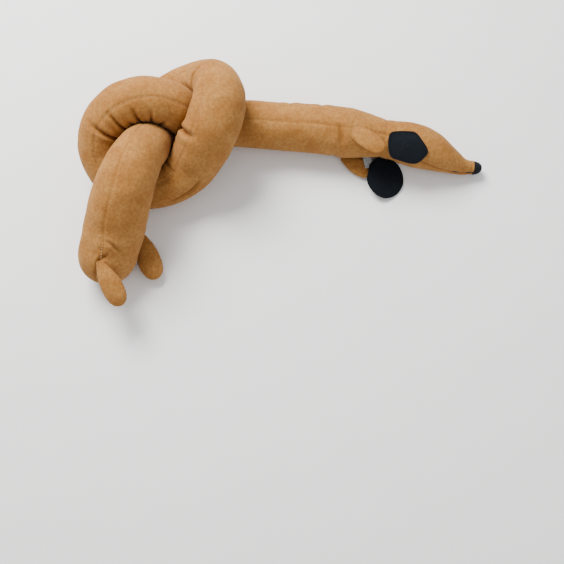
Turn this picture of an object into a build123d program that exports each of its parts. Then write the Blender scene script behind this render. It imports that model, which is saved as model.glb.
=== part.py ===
"""A long stuffed toy dachshund whose soft body is tied in one overhand knot.

Units are millimetres. The dog lies on its left side on the plane Z = 0, head towards +X, back towards +Y.
The origin is on that plane, 3 mm from under the middle of the whole toy.
"""
from build123d import *
import math
import os

os.makedirs("parts", exist_ok=True)

# ---- Driving dimensions -------------------------------------------------------------------------------
# Centre line of the body tube, from the neck, through the knot, to the rump
ROUTE = [
    (128, 56, 26), (84, 65, 27), (40, 70, 28), (-4, 73, 28), (-46, 77, 28), (-85, 77, 31), (-112, 77, 54),
    (-144, 85, 79), (-184, 80, 77), (-208, 53, 56), (-201, 19, 32), (-171, -2, 25), (-135, -3, 26),
    (-107, 17, 37), (-87, 36, 67), (-72, 68, 87), (-76, 103, 81), (-96, 123, 58), (-125, 121, 33),
    (-151, 99, 26), (-156, 68, 28), (-154, 44, 47), (-156, 28, 72), (-166, 1, 84), (-179, -30, 77),
    (-193, -58, 51), (-203, -82, 35),
]
NECK_HEADING = (-0.98, 0.20, 0.02)        # way the body leaves the neck
RUMP_HEADING = (-0.34, -0.77, -0.54)      # way it points at the rump
# Distance from the neck, and the stuffed radius of the body there
GIRTH = [
    (0, 25.2), (60, 26.7), (150, 27.2), (190, 26.2), (230, 23.6), (300, 24.0), (640, 24.0), (700, 23.1),
    (800, 24.1), (850, 25.6), (905, 31.5), (960, 33.5), (1000, 33.5),
]
SKIN = 1.6            # plush, its backing and its pile
GAP = 0.2             # clearance between pieces that are sewn or pressed together
STUFFING_GAP = 0.5    # clearance between a skin and its filling
FELT = 1.3            # one layer of an ear

SEAM_LEAN = 10        # degrees that the upper side seam leans from straight up towards the belly, at the neck
TWIST_START = 215     # the body is also turned about its own line, from here ...
TWIST_TOTAL = -130    # ... to the rump, by this many degrees

SWAY_AT = 168         # hinge of the chest on the knot
LIFT_AT = 100         # hinge halfway along the chest
RUMP_AT = 908         # hinge of the rump on the knot
SWING = 20            # degrees each way for the chest's sway and the rump
RUMP_EASE = 1.2       # extra setback at the rump, whose hinge doesn't stand square to the body
NOD = 25              # degrees that the head turns towards the back
LIFT = 25             # degrees that the front of the chest lifts
BALL_SHARE = 0.88     # filling's ball at a hinge, against the filling's own radius
BALL_CLEARANCE = 0.5

KNOT_SECTIONS = 9
STATION_PITCH = 13    # spacing of the cross-sections
FRAME_STEP = 4

spine = Spline(*ROUTE, tangents=[NECK_HEADING, RUMP_HEADING])
LENGTH = spine.length


# ---- The body's centre line -----------------------------------------------------------------------------
def girth_at(s):
    """Stuffed radius of the body at a distance from the neck."""
    for (s0, r0), (s1, r1) in zip(GIRTH, GIRTH[1:]):
        if s <= s1:
            return r0 + (r1 - r0) * max(0, s - s0) / (s1 - s0)
    return GIRTH[-1][1]


def point_at(s):
    return spine.position_at(s, PositionMode.LENGTH)


def heading_at(s):
    return spine.tangent_at(s, PositionMode.LENGTH)


def square_to(direction, axis):
    """The part of a direction that is square to an axis, at unit length."""
    return (direction - axis * direction.dot(axis)).normalized()


def carried_seams():
    """Direction of the upper seam at even steps, carried along the centre line without twist."""
    lean = math.radians(SEAM_LEAN)
    seam = Vector(0, -math.sin(lean), math.cos(lean))
    seams = []
    for i in range(math.ceil(LENGTH / FRAME_STEP)):
        seam = square_to(seam, heading_at(i * FRAME_STEP))
        seams.append(seam)
    return seams


SEAMS = carried_seams()


def section_plane(s):
    """Plane across the body: X towards the right seam, Y towards the back, Z towards the rump."""
    heading = heading_at(s)
    seam = square_to(SEAMS[min(int(s / FRAME_STEP), len(SEAMS) - 1)], heading)
    twist = math.radians(TWIST_TOTAL) * max(0, s - TWIST_START) / (LENGTH - TWIST_START)
    right = seam * math.cos(twist) + heading.cross(seam) * math.sin(twist)
    return Plane(origin=point_at(s), x_dir=right, z_dir=heading)


def stations(start, end):
    count = max(2, round((end - start) / STATION_PITCH))
    return [start + (end - start) * i / count for i in range(count + 1)]


# ---- Skin and filling -----------------------------------------------------------------------------------
def half_ring(radius, side):
    """Cross-section of one panel: side 1 is the back, side -1 the belly."""
    inner = radius - SKIN
    edge = side * GAP / 2
    outer_x = math.sqrt(radius**2 - edge**2)
    inner_x = math.sqrt(inner**2 - edge**2)
    outer_arc = ThreePointArc((outer_x, edge), (0, side * radius), (-outer_x, edge))
    inner_arc = ThreePointArc((-inner_x, edge), (0, side * inner), (inner_x, edge))
    left = Line(outer_arc @ 1, inner_arc @ 0)
    right = Line(inner_arc @ 1, outer_arc @ 0)
    return make_face([outer_arc, left, inner_arc, right])


def panel(start, end, side):
    return loft([section_plane(s) * half_ring(girth_at(s), side) for s in stations(start, end)])


def filling_radius(s):
    return girth_at(s) - SKIN - STUFFING_GAP


def filling_run(start, end):
    return loft([section_plane(s) * Circle(filling_radius(s)) for s in stations(start, end)])


def ball(s, grow=0.0):
    """The filling's ball at a hinge, or with grow the socket around it."""
    return section_plane(s) * Rot(0, 0, 45) * Sphere(BALL_SHARE * filling_radius(s) + grow)


def setback(s, angle):
    """How far each skin stops short of a hinge so that it can bend by an angle."""
    return girth_at(s) * math.tan(math.radians(angle / 2)) + 3 * GAP


NECK_BACK = setback(0, NOD)
LIFT_BACK = setback(LIFT_AT, LIFT)
SWAY_BACK = setback(SWAY_AT, SWING)
RUMP_BACK = setback(RUMP_AT, SWING) + RUMP_EASE


def half_space(plane, side, size=400):
    """A large block on one side of a plane, half a gap away from it."""
    return plane * Pos(0, 0, side * (size + GAP) / 2) * Box(size, size, size)


# ---- Chest, knot and rump ---------------------------------------------------------------------------------
def chest_nodes():
    front = (NECK_BACK, LIFT_AT - LIFT_BACK)
    rear = (LIFT_AT + LIFT_BACK, SWAY_AT - SWAY_BACK)
    front_filling = filling_run(*front) + ball(LIFT_AT) - ball(0, BALL_CLEARANCE)
    rear_filling = filling_run(*rear) + ball(SWAY_AT) - ball(LIFT_AT, BALL_CLEARANCE)
    return {
        "chest_front_back_panel": panel(*front, 1),
        "chest_front_belly_panel": panel(*front, -1),
        "chest_front_filling": front_filling,
        "chest_rear_back_panel": panel(*rear, 1),
        "chest_rear_belly_panel": panel(*rear, -1),
        "chest_rear_filling": rear_filling,
    }


def knot_nodes():
    start, end = SWAY_AT + SWAY_BACK, RUMP_AT - RUMP_BACK
    pitch = (end - start) / KNOT_SECTIONS
    nodes = {}
    fillings = []
    for i in range(KNOT_SECTIONS):
        run = (start + i * pitch + GAP / 2, start + (i + 1) * pitch - GAP / 2)
        nodes[f"knot_back_panel_{i + 1}"] = panel(*run, 1)
        nodes[f"knot_belly_panel_{i + 1}"] = panel(*run, -1)
        fillings.append(filling_run(*run))
    fillings[0] -= ball(SWAY_AT, BALL_CLEARANCE)
    fillings[-1] -= ball(RUMP_AT, BALL_CLEARANCE)
    nodes["knot_filling"] = Compound(fillings)
    return nodes


def rump_dome(side):
    """Quarter of the hollow dome that closes the rump."""
    radius = girth_at(LENGTH)
    plane = section_plane(LENGTH)
    beyond = plane * Pos(0, 0, radius) * Box(4 * radius, 4 * radius, 2 * radius)
    upper = plane * Pos(0, side * (2 * radius + GAP / 2), 0) * Box(4 * radius, 4 * radius, 4 * radius)
    hollow = plane * (Sphere(radius) - Sphere(radius - SKIN))
    return hollow & beyond & upper


STITCH_TURN = -14     # degrees round the rump from the upper seam
STITCH_DROP = -12     # degrees over the edge of its dome


def closing_stitches():
    """Five hand stitches that close the rump's filling hole, on its upper side."""
    radius = girth_at(LENGTH) + GAP
    stitches = Part()
    for i in range(5):
        turn = Rot(0, 0, STITCH_TURN + 7 * i) * Rot(0, STITCH_DROP, 0)
        stitches += section_plane(LENGTH) * turn * Pos(radius + 0.5, 0, 0) * Box(1.0, 1.2, 7)
    return stitches


def rump_nodes():
    start = RUMP_AT + RUMP_BACK
    core = section_plane(LENGTH) * Sphere(filling_radius(LENGTH))
    return {
        "rump_back_panel": panel(start, LENGTH, 1) + rump_dome(1),
        "rump_belly_panel": panel(start, LENGTH, -1) + rump_dome(-1),
        "rump_filling": filling_run(start, LENGTH) + core + ball(RUMP_AT),
        "rump_closing_stitches": closing_stitches(),
    }


# ---- Head -----------------------------------------------------------------------------------------------
# Centre of the head's section, half its depth from crown to chin, and half its width from side to side
HEAD = [
    ((150, 52.1, 26), 25.8, 25.2), ((166, 47.2, 25.8), 26.0, 25.0), ((181, 42.4, 24), 23.6, 23.0),
    ((193, 36.6, 21), 19.6, 20.0), ((205, 32.2, 17.3), 15.0, 16.0), ((219, 27.0, 12.6), 9.4, 10.8),
    ((231.5, 26.6, 10.4), 7.9, 8.8),
]
CHIN_LINE = ((173, 27.2), (222, 20.6))     # seam between the sides and the chin, seen along Z
NOSE_LENGTH = 11.5


def head_planes():
    """Plane and half sizes of each section of the head: X is up, across the head's width."""
    neck_centre = point_at(0) - heading_at(0) * NECK_BACK
    neck = Plane(origin=neck_centre, x_dir=(0, 0, 1), z_dir=heading_at(0) * -1)
    radius = girth_at(0)
    rest = [(Plane(origin=centre, x_dir=(0, 0, 1), z_dir=(1, 0, 0)), width, depth)
            for centre, depth, width in HEAD]
    return [(neck, radius, radius)] + rest


def head_core(inset):
    """Solid head, from the neck to the nose, smaller all round by an inset."""
    return loft([plane * Ellipse(width - inset, depth - inset) for plane, width, depth in head_planes()])


def half_oval(width, depth, side):
    """Cross-section of one side of the head: side 1 is the upper, right side."""
    outer = EllipticalCenterArc((0, 0), width, depth, -90, arc_size=180)
    inner = EllipticalCenterArc((0, 0), width - SKIN, depth - SKIN, -90, arc_size=180)
    face = make_face([outer, Line(outer @ 1, inner @ 1), inner, Line(inner @ 0, outer @ 0)])
    return Rot(0, 0, 90 - 90 * side) * Pos(GAP / 2, 0) * face


def head_side(side):
    return loft([plane * half_oval(width, depth, side) for plane, width, depth in head_planes()])


def head_nodes():
    (x0, y0), (x1, y1) = CHIN_LINE
    chin = Plane(origin=(x0, y0, 0), x_dir=(0, 0, 1), z_dir=(y1 - y0, x0 - x1, 0))
    shell = head_core(0) - head_core(SKIN)
    return {
        "head_right_side": head_side(1) & half_space(chin, -1),
        "head_left_side": head_side(-1) & half_space(chin, -1),
        "head_chin": shell & half_space(chin, 1),
        "head_filling": head_core(SKIN + 2 * STUFFING_GAP) + ball(0),
        "nose_cap": nose_cap(),
        "mouth_stitches": mouth_stitches(),
    }


# Place of each mouth stitch and its turn about Z
MOUTH = [(215.5, 18.0, 21.3, -15), (227.0, 17.8, 17.2, -3)]


def nose_cap():
    """Half an egg on the end of the head."""
    centre, depth, width = HEAD[-1]
    egg = scale(Sphere(1), by=(NOSE_LENGTH, depth, width))
    return Pos(*centre) * (egg & Pos(25 + GAP, 0, 0) * Box(50, 60, 60))


def mouth_stitches():
    """Short black stitches beside the chin seam, near the nose."""
    stitches = Part()
    for x, y, z, turn in MOUTH:
        stitches += Pos(x, y, z) * Rot(0, 0, turn) * Box(5.0, 1.0, 1.2)
    return stitches


# ---- Ears -----------------------------------------------------------------------------------------------
EAR_TILT = 23.6       # degrees that the near ear slopes from the crown towards the chin
EAR_RAISE = 27.2      # height of the near ear's underside over the head's centre line
EAR_BACK = 8          # distance of the near ear's middle behind the head's first section
NEAR_EAR = [
    (-15, -8), (4, -13.5), (14, -14.5), (24, -7), (34, 1), (31, 11), (21, 19), (5, 20), (-10, 16.5),
]
FAR_EAR_PLACE = (125.5, 13.5, 5.4)
FAR_EAR_TURN = 14                 # degrees that its rear edge is raised over the leg beside it
FAR_EAR_SIZE = (22.5, 22.8)       # half its width and half its length


def near_ear_plane():
    """Plane of the near ear: X forwards along the head, Y away from the ear's root, Z off the head."""
    tilt = math.radians(EAR_TILT)
    forward = heading_at(0) * -1
    forward = Vector(forward.X, forward.Y, 0).normalized()
    sideways = Vector(forward.Y, -forward.X, 0)
    outward = sideways * math.sin(tilt) + Vector(0, 0, math.cos(tilt))
    origin = Vector(*HEAD[0][0]) - forward * EAR_BACK + outward * EAR_RAISE
    return Plane(origin=origin, x_dir=forward, z_dir=outward)


def ear_layers(outline, plane):
    """Two layers of felt, one on the other."""
    lower = extrude(outline, FELT)
    upper = Pos(0, 0, FELT + GAP / 4) * lower
    return plane * lower, plane * upper


def ear_nodes():
    near = make_face(Spline(*[(a, -w) for a, w in NEAR_EAR], periodic=True))
    near_inner, near_outer = ear_layers(near, near_ear_plane())
    far_plane = Plane(Pos(*FAR_EAR_PLACE) * Rot(0, FAR_EAR_TURN, 0))
    far_outer, far_inner = ear_layers(Ellipse(*FAR_EAR_SIZE), far_plane)
    return {
        "right_ear_lining": near_inner,
        "right_ear_face": near_outer,
        "left_ear_face": far_outer,
        "left_ear_lining": far_inner,
    }


# ---- Legs -----------------------------------------------------------------------------------------------
# Root on the body, tip, direction that its broad side faces, half its width and half its thickness
LEGS = {
    "right_front_leg": ((82, 55, 58), (117, 33, 52.5), (0.1, -0.12, 1), 12.5, 4.6),
    "left_front_leg": ((79, 36, 4.7), (110, 23, 4.5), (0, 0, 1), 10.5, 4.0),
    "right_hind_leg": ((-196, -111, 66.5), (-181, -148, 48), (0.1, -0.35, 1), 13.5, 9),
    "left_hind_leg": ((-163, -66, 11.5), (-146, -108, 11.2), (0, 0, 1), 12.5, 10.3),
}
LEG_SKIN = 1.2
ROOT_SHARE = 0.72     # width of a leg at its root, against its widest


def leg_profile(length, width, inset):
    """Half outline of a leg along X, from its root to its round tip."""
    root = (0, ROOT_SHARE * width - inset)
    shoulder = (0.62 * length, width - inset)
    tip = (length - inset, 0)
    side = Spline(root, shoulder, tangents=[(1, 0.25), (1, 0)])
    end = Spline(shoulder, tip, tangents=[(1, 0), (0, -1)])
    return make_face([side, end, Line(tip, (0, 0)), Line((0, 0), root)])


def leg_solid(length, width, thickness, inset):
    """A leg turned about X, then flattened to its thickness."""
    turned = revolve(leg_profile(length, width, inset), Axis.X)
    return scale(turned, by=(1, 1, (thickness - inset) / (width - inset)))


def leg_nodes():
    nodes = {}
    for name, (root, tip, facing, width, thickness) in LEGS.items():
        run = Vector(*tip) - Vector(*root)
        plane = Plane(origin=root, x_dir=run, z_dir=square_to(Vector(*facing), run.normalized()))
        shell = leg_solid(run.length, width, thickness, 0) - leg_solid(run.length, width, thickness, LEG_SKIN)
        core = leg_solid(run.length, width, thickness, LEG_SKIN + GAP)
        nodes[f"{name}_upper"] = plane * (shell & half_space(Plane.XY, 1))
        nodes[f"{name}_lower"] = plane * (shell & half_space(Plane.XY, -1))
        nodes[f"{name}_filling"] = plane * core
    return nodes


# ---- Care label -----------------------------------------------------------------------------------------
LABEL = (10, 7, 0.5)
LABEL_PLACE = (107, 30.0, 20)


def label_node():
    """Blank woven loop, sewn in the chest's lower seam."""
    return {"care_label": Pos(*LABEL_PLACE) * Box(*LABEL)}


def all_nodes():
    nodes = {}
    for group in (chest_nodes, knot_nodes, rump_nodes, head_nodes, ear_nodes, leg_nodes, label_node):
        nodes.update(group())
    return nodes


for name, solid in all_nodes().items():
    export_step(solid, f"parts/{name}.step")
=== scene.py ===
"""Looks of a very long stuffed toy dachshund that lies on its side, its soft body tied in one overhand knot.

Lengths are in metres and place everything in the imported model's own frame: the toy lies on Z = 0, its head
towards +X and its back towards +Y.
"""
from __future__ import annotations

import logging
import math
from dataclasses import dataclass, field
from enum import Enum

import bpy
import numpy as np
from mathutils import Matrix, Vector, noise
from mathutils.bvhtree import BVHTree


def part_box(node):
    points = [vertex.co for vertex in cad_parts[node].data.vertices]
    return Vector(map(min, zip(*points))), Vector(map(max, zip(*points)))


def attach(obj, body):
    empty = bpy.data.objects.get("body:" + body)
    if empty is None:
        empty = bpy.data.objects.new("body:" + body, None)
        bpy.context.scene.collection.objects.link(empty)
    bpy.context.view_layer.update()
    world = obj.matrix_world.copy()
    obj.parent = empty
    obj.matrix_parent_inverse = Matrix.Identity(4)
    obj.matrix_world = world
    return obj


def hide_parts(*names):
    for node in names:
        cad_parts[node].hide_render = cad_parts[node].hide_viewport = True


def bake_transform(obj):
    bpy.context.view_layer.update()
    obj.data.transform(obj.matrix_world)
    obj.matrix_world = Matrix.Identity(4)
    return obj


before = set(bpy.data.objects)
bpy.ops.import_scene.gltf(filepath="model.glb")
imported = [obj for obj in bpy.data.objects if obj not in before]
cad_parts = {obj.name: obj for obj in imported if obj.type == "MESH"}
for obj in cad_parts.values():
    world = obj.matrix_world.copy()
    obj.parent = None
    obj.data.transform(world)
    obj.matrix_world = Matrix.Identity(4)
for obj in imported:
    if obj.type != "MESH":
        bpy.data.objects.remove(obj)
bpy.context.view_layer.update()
LOG = logging.getLogger("dachshund")
MM = 0.001
FULL_TURN = 2 * math.pi
CURVE_STEPS = 60                  # fine points between two knots of a curve
LOOP_STEPS = 40                   # the same for a closed curve

Array = np.ndarray


class Slot(Enum):
    """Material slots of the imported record."""

    PLUSH = "tan_plush"
    EAR = "ear_fleece"
    NOSE = "nose_fleece"
    DARK_THREAD = "dark_thread"
    TAN_THREAD = "tan_thread"
    LABEL = "label_ribbon"


class Side(Enum):
    """Side of the dog: the right side faces up, the left side lies on the surface."""

    RIGHT = "right"
    LEFT = "left"


# ---- Small helpers ----------------------------------------------------------------------------------------
def unit(v: Array) -> Array:
    """Vectors at unit length, along the last axis."""
    return v / np.maximum(np.linalg.norm(v, axis=-1, keepdims=True), 1e-12)


def smooth_step(x: Array) -> Array:
    """Smooth rise from 0 to 1 while x goes from 0 to 1."""
    t = np.clip(x, 0, 1)
    return t * t * (3 - 2 * t)


def wrapped(angle: Array) -> Array:
    """Angles brought to between minus half a turn and half a turn."""
    return (angle + math.pi) % FULL_TURN - math.pi


def from_seams(angle: Array) -> Array:
    """Angle to the nearer of the two seams, which lie half a turn apart."""
    return np.minimum(np.abs(wrapped(angle)), np.abs(angle - math.pi))


def length_along(points: Array) -> Array:
    """Distance of each point of a path from its first one."""
    return np.r_[0, np.cumsum(np.linalg.norm(np.diff(points, axis=0), axis=1))]


def evenly_spaced(points: Array, count: int, closed: bool = False) -> Array:
    """Points at even distances along a path.

    Args:
        points: the path, finely divided; a closed one ends where it starts.
        count: number of points wanted.
        closed: whether the path is closed, so that its end is left out.

    Returns:
        The points.
    """
    along = length_along(points)
    wanted = np.linspace(0, along[-1], count, endpoint=not closed)
    return np.stack([np.interp(wanted, along, column) for column in points.T], -1)


def soft_min(a: Array, b: Array, softness: float) -> Array:
    """The smaller of two arrays, rounded where they are about equal.

    Args:
        a: first values.
        b: second values.
        softness: difference over which the corner is rounded.

    Returns:
        The rounded minimum, never above the real one.
    """
    gap = np.clip(0.5 + 0.5 * (b - a) / softness, 0, 1)
    return b + (a - b) * gap - softness * gap * (1 - gap)


def noise_at(points: Array, size: float, seed: float) -> Array:
    """Smooth noise from about -1 to 1.

    Args:
        points: places, one for each row.
        size: distance over which the noise changes.
        seed: offset that makes one noise differ from another.

    Returns:
        One value for each point.
    """
    shift = Vector((seed, seed * 1.7, -seed))
    return np.array([noise.noise(Vector(p) / size + shift) for p in points])


def clamped_spline(knots: Array, start: Array, end: Array, count: int) -> Array:
    """Points along a smooth curve through knots, with given headings at its ends.

    Args:
        knots: points that the curve passes through.
        start: heading at the first knot.
        end: heading at the last knot.
        count: number of points wanted.

    Returns:
        The points, evenly spaced along the curve.
    """
    chord = np.linalg.norm(np.diff(knots, axis=0), axis=1)
    n = len(knots)
    matrix, right = np.zeros((n, n)), np.zeros((n, 3))
    matrix[0, 0] = matrix[-1, -1] = 1
    right[0], right[-1] = unit(start), unit(end)
    slopes = np.diff(knots, axis=0) / chord[:, None]
    for i in range(1, n - 1):
        before, after = chord[i - 1], chord[i]
        matrix[i, i - 1:i + 2] = after, 2 * (before + after), before
        right[i] = 3 * (after * slopes[i - 1] + before * slopes[i])
    tangents = np.linalg.solve(matrix, right)
    pieces = []
    for i in range(n - 1):
        t = np.linspace(0, 1, CURVE_STEPS, endpoint=i == n - 2)[:, None]
        pieces.append((2 * t**3 - 3 * t**2 + 1) * knots[i] + (t**3 - 2 * t**2 + t) * chord[i] * tangents[i]
                      + (3 * t**2 - 2 * t**3) * knots[i + 1] + (t**3 - t**2) * chord[i] * tangents[i + 1])
    return evenly_spaced(np.vstack(pieces), count)


def vertex_normals(grid: Array) -> Array:
    """Normals of a grid of points that is closed along its second axis."""
    along = np.gradient(grid, axis=0)
    around = np.roll(grid, -1, axis=1) - np.roll(grid, 1, axis=1)
    return unit(np.cross(around, along))


# ---- Meshes -----------------------------------------------------------------------------------------------
def new_object(name: str, vertices: Array, faces: list, material: bpy.types.Material) -> bpy.types.Object:
    """A smooth-shaded mesh object at the origin.

    Args:
        name: name of the object and its mesh.
        vertices: places of the vertices.
        faces: vertex numbers of each face.
        material: finish of all its faces.

    Returns:
        The object, linked to the scene.
    """
    mesh = bpy.data.meshes.new(name)
    mesh.from_pydata([tuple(v) for v in vertices], [], faces)
    mesh.materials.append(material)
    mesh.polygons.foreach_set("use_smooth", [True] * len(mesh.polygons))
    mesh.update()
    obj = bpy.data.objects.new(name, mesh)
    bpy.context.scene.collection.objects.link(obj)
    return obj


def tube_faces(rows: int, columns: int) -> list:
    """Faces of a closed tube whose vertices are laid out row by row, with a fan of faces over each end.

    Args:
        rows: number of rings.
        columns: vertices in each ring.

    Returns:
        The faces. The two cap centres are the last two vertices.
    """
    faces = []
    for i in range(rows - 1):
        for j in range(columns):
            k = (j + 1) % columns
            faces.append((i * columns + j, i * columns + k, (i + 1) * columns + k, (i + 1) * columns + j))
    first, last = rows * columns, rows * columns + 1
    for j in range(columns):
        k = (j + 1) % columns
        faces.append((first, k, j))
        faces.append((last, (rows - 1) * columns + j, (rows - 1) * columns + k))
    return faces


def set_attribute(obj: bpy.types.Object, name: str, values: Array) -> None:
    """Store one number on each vertex, for the material."""
    attribute = obj.data.attributes.new(name, "FLOAT", "POINT")
    attribute.data.foreach_set("value", values.astype(np.float32).ravel())


def tube_object(name: str, grid: Array, normals: Array, depth: Array,
                material: bpy.types.Material) -> bpy.types.Object:
    """A capped tube from a grid of rings, with the shading of the whole surface that it is cut from.

    Args:
        name: name of the object.
        grid: rings of points, shape (rows, columns, 3).
        normals: normal at each point, from the whole surface.
        depth: how deep each point lies in a crease, from 0 to 1, which sets the painted shade there.
        material: finish of the tube.

    Returns:
        The object.
    """
    rows, columns = grid.shape[:2]
    vertices = np.vstack([grid.reshape(-1, 3), grid[0].mean(axis=0), grid[-1].mean(axis=0)])
    obj = new_object(name, vertices, tube_faces(rows, columns), material)
    ends = np.array([unit(grid[0].mean(axis=0) - grid[1].mean(axis=0)),
                     unit(grid[-1].mean(axis=0) - grid[-2].mean(axis=0))])
    obj.data.normals_split_custom_set_from_vertices(np.vstack([normals.reshape(-1, 3), ends]))
    # the crease number is painted shade in the cloth's colour
    set_attribute(obj, "crease", np.r_[depth.ravel(), 0, 0])
    return obj


# ---- Finishes ---------------------------------------------------------------------------------------------
class Nodes:
    """Short way to write a material's node tree."""

    def __init__(self, name: str) -> None:
        """Start an empty tree with its output and shader."""
        self.material = bpy.data.materials.new(name)
        self.material.use_nodes = True
        self.tree = self.material.node_tree
        self.tree.nodes.clear()
        self.output = self.tree.nodes.new("ShaderNodeOutputMaterial")
        self.shader = self.tree.nodes.new("ShaderNodeBsdfPrincipled")
        self.link(self.shader.outputs[0], self.output.inputs["Surface"])

    def link(self, source: bpy.types.NodeSocket, target: bpy.types.NodeSocket) -> None:
        """Join two sockets."""
        self.tree.links.new(source, target)

    def node(self, kind: str, **values: object) -> bpy.types.Node:
        """Add a node.

        Args:
            kind: type of the node.
            **values: its properties.

        Returns:
            The node.
        """
        made = self.tree.nodes.new(kind)
        for key, value in values.items():
            setattr(made, key, value)
        return made

    def noise(self, size: float, detail: float = 2, roughness: float = 0.5,
              stretch: tuple = (1, 1, 1)) -> bpy.types.NodeSocket:
        """Noise on the object's own coordinates.

        Args:
            size: distance over which it changes.
            detail: number of finer layers.
            roughness: strength of the finer layers.
            stretch: scale along each axis.

        Returns:
            The socket with values from 0 to 1.
        """
        place = self.node("ShaderNodeTexCoord")
        mapping = self.node("ShaderNodeMapping")
        mapping.inputs["Scale"].default_value = stretch
        pattern = self.node("ShaderNodeTexNoise")
        pattern.inputs["Scale"].default_value = 1 / size
        pattern.inputs["Detail"].default_value = detail
        pattern.inputs["Roughness"].default_value = roughness
        self.link(place.outputs["Object"], mapping.inputs["Vector"])
        self.link(mapping.outputs[0], pattern.inputs["Vector"])
        return pattern.outputs["Fac"]

    def remap(self, value: bpy.types.NodeSocket, low: float, high: float, to_low: float = 0,
              to_high: float = 1) -> bpy.types.NodeSocket:
        """Stretch a range of values to another, clamped."""
        made = self.node("ShaderNodeMapRange")
        for socket, number in zip(("From Min", "From Max", "To Min", "To Max"), (low, high, to_low, to_high)):
            made.inputs[socket].default_value = number
        self.link(value, made.inputs["Value"])
        return made.outputs["Result"]

    def mix(self, share: bpy.types.NodeSocket, first: object, second: object) -> bpy.types.NodeSocket:
        """Mix two colours, each a socket or an RGB triple."""
        made = self.node("ShaderNodeMix", data_type="RGBA")
        self.link(share, made.inputs["Factor"])
        for name, colour in (("A", first), ("B", second)):
            socket = [s for s in made.inputs if s.name == name and s.type == "RGBA"][0]
            if isinstance(colour, tuple):
                socket.default_value = (*colour, 1)
            else:
                self.link(colour, socket)
        return [s for s in made.outputs if s.type == "RGBA"][0]

    def bump(self, height: bpy.types.NodeSocket, distance: float, strength: float,
             after: bpy.types.NodeSocket | None = None) -> bpy.types.NodeSocket:
        """Bump from a height, on top of an earlier one."""
        made = self.node("ShaderNodeBump")
        made.inputs["Distance"].default_value = distance
        made.inputs["Strength"].default_value = strength
        self.link(height, made.inputs["Height"])
        if after is not None:
            self.link(after, made.inputs["Normal"])
        return made.outputs["Normal"]

    def attribute(self, name: str) -> bpy.types.NodeSocket:
        """A number stored on the mesh."""
        return self.node("ShaderNodeAttribute", attribute_name=name).outputs["Fac"]

    def set(self, **values: object) -> None:
        """Set the shader's own sockets; an underscore in a name stands for a space."""
        for key, value in values.items():
            self.shader.inputs[key.replace("_", " ")].default_value = value


@dataclass(frozen=True)
class PileFinish:
    """Cut-pile cloth: plush, or the ears' and nose's fleece.

    Args:
        name: name of the material.
        colour: colour where the pile stands up.
        brushed: colour where it lies flat.
        shade: colour between the fibres, and the painted shade in creases, seams and tucks.
        pile: size of its tufts.
        sheen: strength of the light that the fibre ends catch.
        sheen_tint: colour of that light.
    """

    name: str
    colour: tuple
    brushed: tuple
    shade: tuple
    pile: float
    sheen: float
    sheen_tint: tuple

    def build(self) -> bpy.types.Material:
        """The material, with brushed patches, painted shade in creases and seams, and a nap."""
        nodes = Nodes(self.name)
        patches = nodes.remap(nodes.noise(26 * MM, 3, 0.55, (1, 1.35, 1)), 0.34, 0.66)
        cloth = nodes.mix(patches, self.colour, self.brushed)
        mottle = nodes.remap(nodes.noise(3.6 * MM, 3, 0.7), 0.36, 0.64, 0, 0.45)
        cloth = nodes.mix(mottle, cloth, self.shade)
        fibres = nodes.remap(nodes.noise(self.pile * 0.9, 2, 0.7), 0.35, 0.65, 0, 0.3)
        cloth = nodes.mix(fibres, cloth, self.shade)
        # painted shade: the mesh's crease number darkens folds, seam grooves and tucks towards the shade
        # colour
        crease = nodes.remap(nodes.attribute("crease"), 0.05, 1.0, 0, 0.9)
        cloth = nodes.mix(crease, cloth, self.shade)
        nodes.link(cloth, nodes.shader.inputs["Base Color"])
        nap = nodes.bump(nodes.noise(self.pile, 3, 0.7), 0.55 * MM, 0.75)
        nap = nodes.bump(nodes.noise(5 * MM, 2, 0.6, (1.3, 0.8, 1)), 0.5 * MM, 0.5, nap)
        nodes.link(nap, nodes.shader.inputs["Normal"])
        nodes.set(Roughness=0.92, Sheen_Weight=self.sheen, Sheen_Roughness=0.45,
                  Sheen_Tint=(*self.sheen_tint, 1), Specular_IOR_Level=0.12)
        return nodes.material


@dataclass(frozen=True)
class ThreadFinish:
    """Twisted sewing or embroidery thread."""

    name: str
    colour: tuple
    dark: tuple

    def build(self) -> bpy.types.Material:
        """The material, with a fine twist."""
        nodes = Nodes(self.name)
        twist = nodes.remap(nodes.noise(0.35 * MM, 1, 0.5, (1, 1, 2.5)), 0.4, 0.6)
        nodes.link(nodes.mix(twist, self.colour, self.dark), nodes.shader.inputs["Base Color"])
        nodes.link(nodes.bump(twist, 0.1 * MM, 0.6), nodes.shader.inputs["Normal"])
        nodes.set(Roughness=0.62, Sheen_Weight=0.15, Specular_IOR_Level=0.3)
        return nodes.material


@dataclass(frozen=True)
class RibbonFinish:
    """Woven satin ribbon."""

    name: str
    colour: tuple
    shade: tuple

    def build(self) -> bpy.types.Material:
        """The material, with a fine plain weave."""
        nodes = Nodes(self.name)
        place = nodes.node("ShaderNodeTexCoord")
        bands = []
        for direction in ("X", "Y"):
            wave = nodes.node("ShaderNodeTexWave", bands_direction=direction)
            wave.inputs["Scale"].default_value = 0.16 / (0.3 * MM)
            nodes.link(place.outputs["Object"], wave.inputs["Vector"])
            bands.append(wave.outputs["Fac"])
        weave = nodes.node("ShaderNodeMath", operation="MULTIPLY")
        nodes.link(bands[0], weave.inputs[0])
        nodes.link(bands[1], weave.inputs[1])
        soil = nodes.remap(nodes.noise(3 * MM, 2), 0.4, 0.65)
        cloth = nodes.mix(soil, self.colour, self.shade)
        nodes.link(cloth, nodes.shader.inputs["Base Color"])
        nodes.link(nodes.bump(weave.outputs[0], 0.08 * MM, 0.5), nodes.shader.inputs["Normal"])
        nodes.set(Roughness=0.55, Sheen_Weight=0.2, Specular_IOR_Level=0.4)
        return nodes.material


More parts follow.
